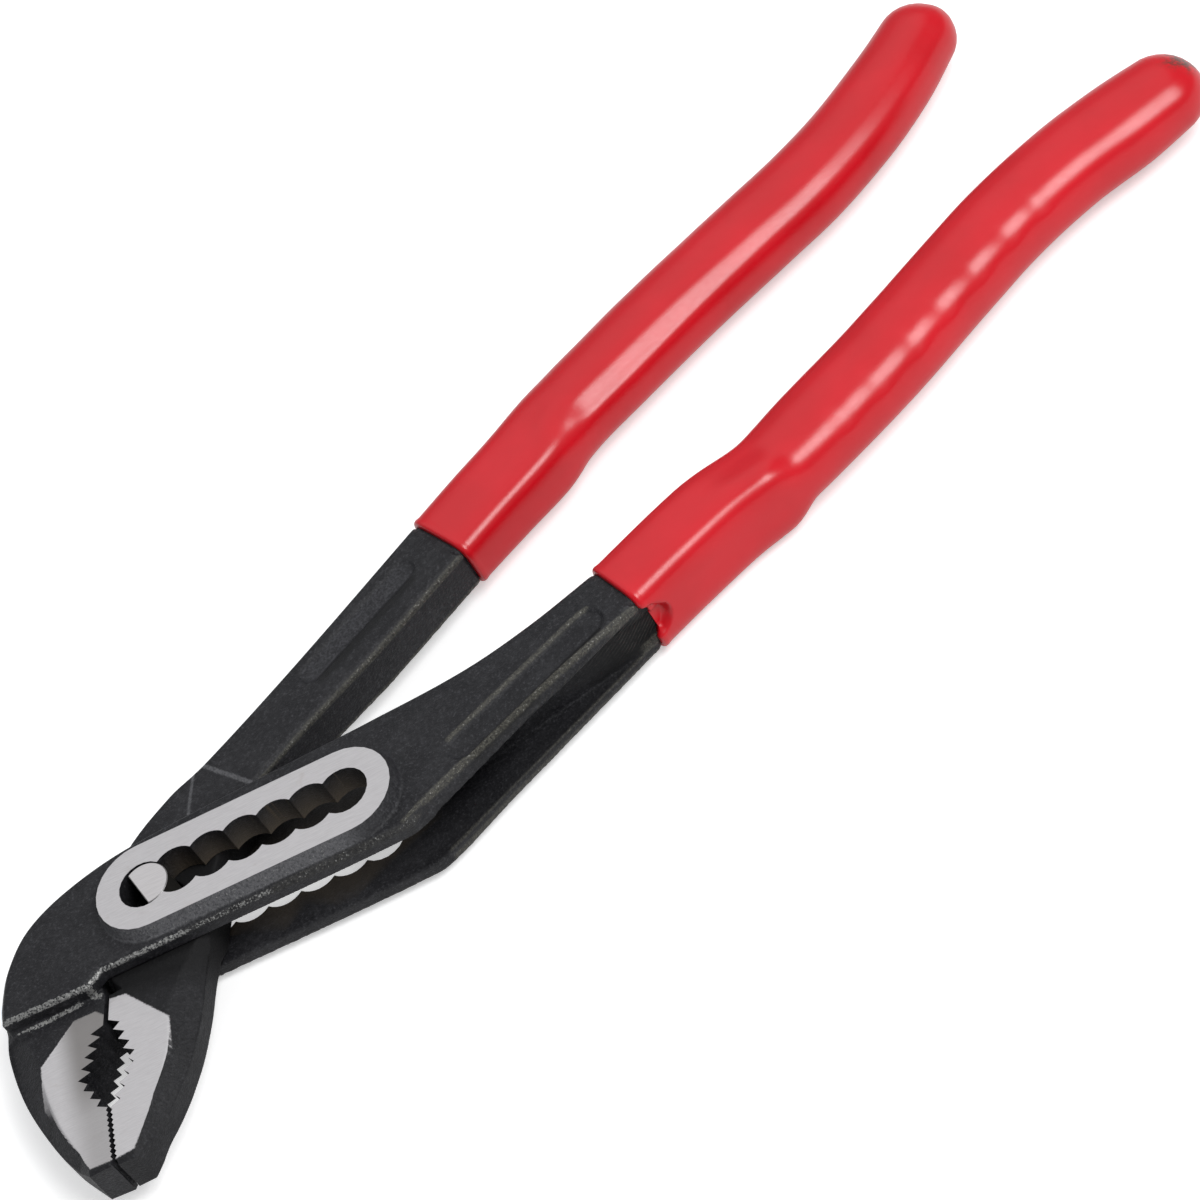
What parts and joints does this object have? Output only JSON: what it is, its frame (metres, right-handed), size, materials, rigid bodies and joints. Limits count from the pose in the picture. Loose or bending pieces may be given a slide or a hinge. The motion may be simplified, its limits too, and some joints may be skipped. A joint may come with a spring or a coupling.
{
  "type": "water pump pliers",
  "caption": "Water pump pliers: offset toothed jaws, box joint with a lobed adjusting slot and a flatted pivot pin, black steel levers, red dipped grips.",
  "frame": {"origin": "centre of the bounding box in plan, on the plane of the rear boss's face", "axes": "+X along the tool's length from jaws to handle ends, +Z out of the front face; the tool lies flat"},
  "size_m": [0.256, 0.072, 0.018],
  "materials": {
    "black_steel": "black oxide on forged steel, satin; boss faces and jaw sides ground bare",
    "bright_steel": "ground bare",
    "red_vinyl": "glossy dipped coating"
  },
  "bodies": {
    "outer_lever": {"outer_lever": "black_steel", "outer_grip": "red_vinyl"},
    "pivot": {"pivot_pin": "bright_steel"},
    "inner_lever": {"inner_lever": "black_steel", "inner_grip": "red_vinyl"}
  },
  "joints": [
    {"name": "slot_slide", "type": "slide", "parent": "outer_lever", "child": "pivot", "axis": [0.8387, -0.5446, 0], "range_m": [0, 0.036]},
    {"name": "jaw_pivot", "type": "hinge", "parent": "pivot", "child": "inner_lever", "pos_m": [-0.08612, 0.01958, 0.0082], "axis": [0, 0, 1], "range_deg": [0, 70]}
  ]
}
